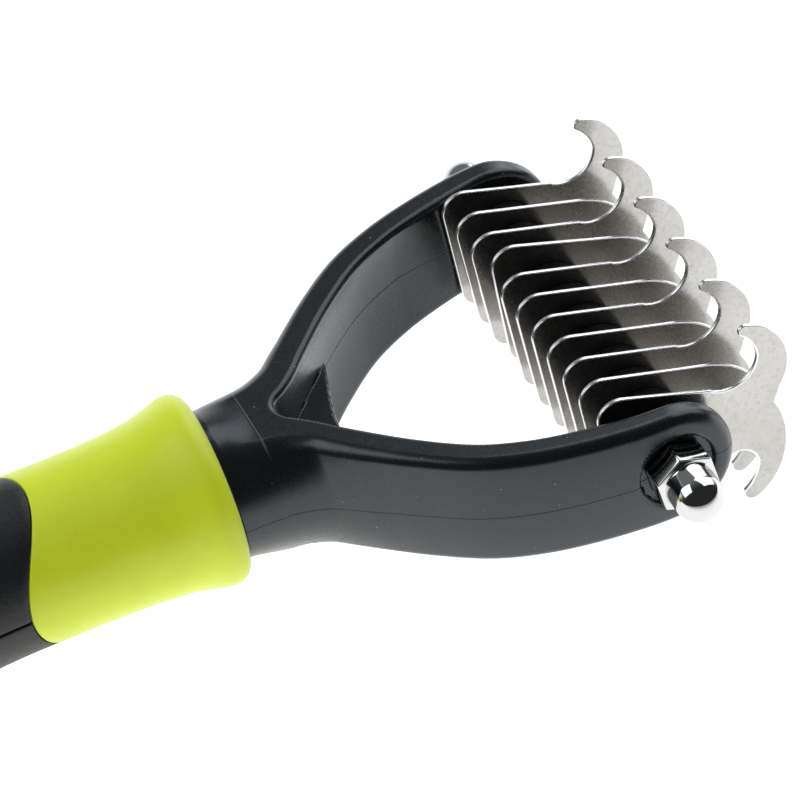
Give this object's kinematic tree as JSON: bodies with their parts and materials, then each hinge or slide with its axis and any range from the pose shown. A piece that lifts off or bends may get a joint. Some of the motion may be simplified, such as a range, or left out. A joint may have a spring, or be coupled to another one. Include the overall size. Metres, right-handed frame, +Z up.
{
  "type": "deshedding tool",
  "caption": "Hand deshedding rake: a Y-shaped fork holds a row of hooked steel blades on a cross axle, with a soft collar and a two-shell grip behind.",
  "frame": {"origin": "middle of the footprint, level with the lowest hook", "axes": "+X along the handle towards the blades, +Y along the axle, +Z up"},
  "size_m": [0.168, 0.0728, 0.0296],
  "materials": {
    "black_plastic": "satin injection-moulded black plastic, lightly scuffed",
    "black_grip": "fine-grained matt black plastic",
    "green_rubber": "smooth soft-touch lime green rubber",
    "polished_steel": "satin stainless sheet with bright ground edges",
    "chrome": "bright nickel-chrome plate"
  },
  "bodies": {
    "handle": {"fork_frame": "black_plastic", "grip_collar": "green_rubber", "grip_upper": "black_grip", "grip_lower": "black_grip", "butt_cap": "green_rubber", "axle_rod": "chrome", "cap_nut_left": "chrome", "cap_nut_right": "chrome"},
    "blade_pack": {"blade_01": "polished_steel", "blade_02": "polished_steel", "blade_03": "polished_steel", "blade_04": "polished_steel", "blade_05": "polished_steel", "blade_06": "polished_steel", "blade_07": "polished_steel", "blade_08": "polished_steel", "blade_09": "polished_steel", "blade_10": "polished_steel", "blade_11": "polished_steel", "spacer_01": "black_plastic", "spacer_02": "black_plastic", "spacer_03": "black_plastic", "spacer_04": "black_plastic", "spacer_05": "black_plastic", "spacer_06": "black_plastic", "spacer_07": "black_plastic", "spacer_08": "black_plastic", "spacer_09": "black_plastic", "spacer_10": "black_plastic", "end_spacer_left": "black_plastic", "end_spacer_right": "black_plastic"}
  },
  "joints": [
    {"name": "blade_pack_turn", "type": "hinge", "parent": "handle", "child": "blade_pack", "pos_m": [0.0666, 0, 0.01445], "axis": [0, 1, 0], "range_deg": [-60, 90]}
  ]
}
